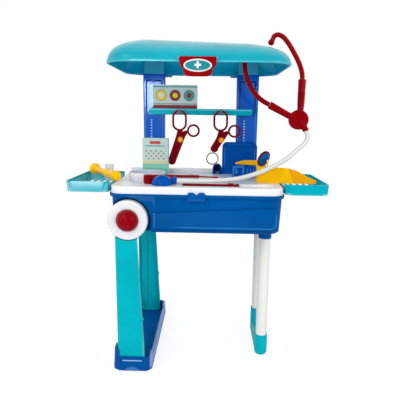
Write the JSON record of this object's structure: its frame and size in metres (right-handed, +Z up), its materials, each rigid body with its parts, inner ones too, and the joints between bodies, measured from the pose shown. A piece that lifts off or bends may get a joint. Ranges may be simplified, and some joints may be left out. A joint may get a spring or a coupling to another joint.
{
  "type": "toy doctor case",
  "caption": "Wheeled play case unfolded into a table: tray with bowl, side trays, pull handle and leg frame as legs, posts, shelf and domed lid canopy, with toy medical tools.",
  "frame": {"origin": "on the floor, under the middle of the case body", "axes": "+Z up, -Y to the open play side, +X from the wheels to the pull handle"},
  "size_m": [0.5426, 0.339, 0.7241],
  "materials": {
    "teal_plastic": "glossy moulded",
    "blue_plastic": "glossy moulded",
    "bright_blue_plastic": "glossy moulded",
    "white_plastic": "satin moulded",
    "pale_tube_plastic": "satin extruded",
    "pale_soft_tube": "smooth",
    "red_plastic": "glossy moulded",
    "dark_red_plastic": "glossy moulded",
    "yellow_plastic": "glossy moulded",
    "orange_plastic": "glossy moulded",
    "grey_plastic": "satin",
    "printed_card": "printed card",
    "clear_plastic": "clear",
    "jade_plastic": "glossy moulded",
    "steel": "plain"
  },
  "bodies": {
    "case": {"case_body": "blue_plastic", "latch_catch": "blue_plastic", "tray_insert": "white_plastic", "wheel_axle": "steel", "handle_socket_front": "blue_plastic", "handle_socket_rear": "blue_plastic", "post_left": "bright_blue_plastic", "post_right": "bright_blue_plastic", "shelf_bar": "teal_plastic", "hook_left": "grey_plastic", "hook_right": "grey_plastic", "medicine_box_shelf": "printed_card", "medicine_box_tray": "printed_card", "card_holder": "blue_plastic", "ear_cone": "blue_plastic", "scope_body": "blue_plastic", "reflex_hammer": "red_plastic", "thermometer": "dark_red_plastic", "mirror_band": "yellow_plastic", "chest_piece": "blue_plastic", "stethoscope_tube": "pale_soft_tube"},
    "leg_frame": {"leg_arm_front": "teal_plastic", "leg_arm_rear": "teal_plastic", "base_foot": "blue_plastic"},
    "front_wheel": {"wheel_front": "white_plastic", "hub_cap_front": "red_plastic"},
    "rear_wheel": {"wheel_rear": "white_plastic", "hub_cap_rear": "red_plastic"},
    "handle": {"handle_tube_front": "pale_tube_plastic", "handle_tube_rear": "pale_tube_plastic", "handle_grip": "teal_plastic"},
    "canopy": {"canopy_shell": "teal_plastic", "latch_pin": "steel", "stethoscope_yoke": "red_plastic", "ear_tube_outer": "red_plastic", "ear_tube_inner": "red_plastic", "ear_tip_outer": "red_plastic", "ear_tip_inner": "red_plastic"},
    "latch": {"latch_plate": "red_plastic", "badge_rim": "white_plastic", "badge_field": "jade_plastic"},
    "left_wing": {"wing_left": "teal_plastic", "flask": "clear_plastic", "syringe_barrel": "yellow_plastic"},
    "plunger": {"syringe_plunger": "yellow_plastic"},
    "right_wing": {"wing_right": "teal_plastic"},
    "scissors": {"scissors_front_half": "dark_red_plastic", "scissors_rivet": "orange_plastic"},
    "scissors_blade": {"scissors_rear_half": "dark_red_plastic"},
    "clamp": {"clamp_front_half": "dark_red_plastic", "clamp_rivet": "orange_plastic", "clamp_ring": "grey_plastic"},
    "clamp_blade": {"clamp_rear_half": "dark_red_plastic"},
    "head_mirror": {"mirror_face": "dark_red_plastic", "mirror_back": "blue_plastic"}
  },
  "joints": [
    {"name": "leg_fold", "type": "hinge", "parent": "case", "child": "leg_frame", "pos_m": [-0.139, 0, 0.332], "axis": [0, -1, 0], "range_deg": [0, 45]},
    {"name": "front_wheel_spin", "type": "hinge", "parent": "case", "child": "front_wheel", "pos_m": [-0.139, -0.141, 0.332], "axis": [0, 1, 0], "continuous": true},
    {"name": "rear_wheel_spin", "type": "hinge", "parent": "case", "child": "rear_wheel", "pos_m": [-0.139, 0.141, 0.332], "axis": [0, 1, 0], "continuous": true},
    {"name": "handle_unplug", "type": "slide", "parent": "case", "child": "handle", "axis": [0, 0, -1], "range_m": [0, 0.024]},
    {"name": "canopy_lift", "type": "slide", "parent": "case", "child": "canopy", "axis": [0, 0, 1], "range_m": [0, 0.028]},
    {"name": "latch_flip", "type": "hinge", "parent": "canopy", "child": "latch", "pos_m": [0, -0.152, 0.6503], "axis": [-1, 0, 0], "range_deg": [0, 90]},
    {"name": "left_wing_pull", "type": "slide", "parent": "case", "child": "left_wing", "axis": [-1, 0, 0], "range_m": [0, 0.01]},
    {"name": "syringe_plunge", "type": "slide", "parent": "left_wing", "child": "plunger", "axis": [0.5364, -0.8439, -0.0107], "range_m": [0, 0.012]},
    {"name": "right_wing_pull", "type": "slide", "parent": "case", "child": "right_wing", "axis": [1, 0, 0], "range_m": [0, 0.01]},
    {"name": "scissors_swing", "type": "hinge", "parent": "case", "child": "scissors", "pos_m": [-0.05, 0.0792, 0.5484], "axis": [0, 1, 0], "range_deg": [-15, 15]},
    {"name": "scissors_open", "type": "hinge", "parent": "scissors", "child": "scissors_blade", "pos_m": [-0.0475, 0.0824, 0.4852], "axis": [0, 1, 0], "range_deg": [0, 35]},
    {"name": "clamp_swing", "type": "hinge", "parent": "case", "child": "clamp", "pos_m": [0.05, 0.0792, 0.5484], "axis": [0, 1, 0], "range_deg": [-15, 15]},
    {"name": "clamp_open", "type": "hinge", "parent": "clamp", "child": "clamp_blade", "pos_m": [0.0525, 0.0824, 0.4852], "axis": [0, 1, 0], "range_deg": [0, 35]},
    {"name": "mirror_tilt", "type": "hinge", "parent": "case", "child": "head_mirror", "pos_m": [0.14979, -0.06116, 0.44878], "axis": [0.7486, 0.6631, 0], "range_deg": [-5, 20]}
  ]
}
